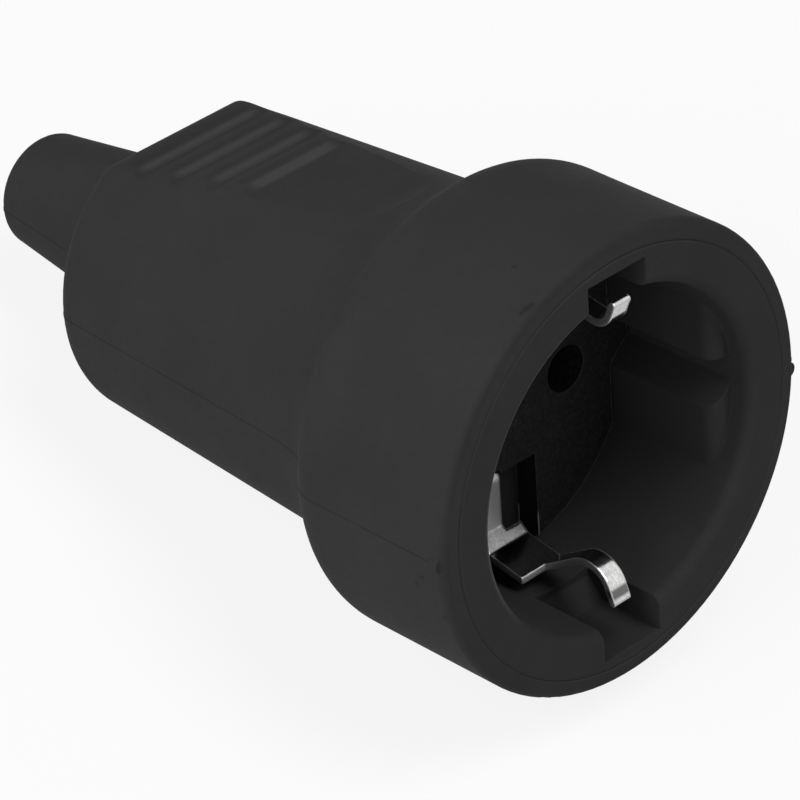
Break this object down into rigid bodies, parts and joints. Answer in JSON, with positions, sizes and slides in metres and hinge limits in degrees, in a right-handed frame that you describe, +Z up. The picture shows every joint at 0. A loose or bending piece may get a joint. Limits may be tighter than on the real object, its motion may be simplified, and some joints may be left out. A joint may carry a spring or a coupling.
{
  "type": "in-line power socket",
  "caption": "Black rubber in-line power socket with a round recess, two pin holes and two bent earth clips, a ribbed grip and a round cable nozzle at the rear.",
  "frame": {"origin": "middle of the underside, with the socket lying on its side as it comes to rest", "axes": "+X the way the plug mouth looks, with the axis rising 13.3 degrees towards it, +Z up, the two pins side by side along Y"},
  "size_m": [0.095, 0.054, 0.056],
  "materials": {
    "black_rubber": "matt moulded rubber",
    "carrier_black": "matt, faintly speckled",
    "nickel_plate": "bright nickel plate",
    "brass": "bare brass",
    "zinc_steel": "zinc plated steel"
  },
  "bodies": {
    "root": {"rubber_hood": "black_rubber", "contact_carrier": "carrier_black", "terminal_cover": "carrier_black", "cable_saddle": "carrier_black", "earth_strip": "nickel_plate", "earth_terminal_block": "brass", "earth_rivet": "brass", "left_contact_sleeve": "brass", "right_contact_sleeve": "brass", "left_terminal_block": "brass", "right_terminal_block": "brass", "left_sleeve_ring": "zinc_steel", "right_sleeve_ring": "zinc_steel", "earth_terminal_screw": "zinc_steel", "left_terminal_screw": "zinc_steel", "right_terminal_screw": "zinc_steel", "cover_screws": "zinc_steel", "clamp_screws": "zinc_steel", "clamp_nuts": "zinc_steel"}
  },
  "joints": []
}
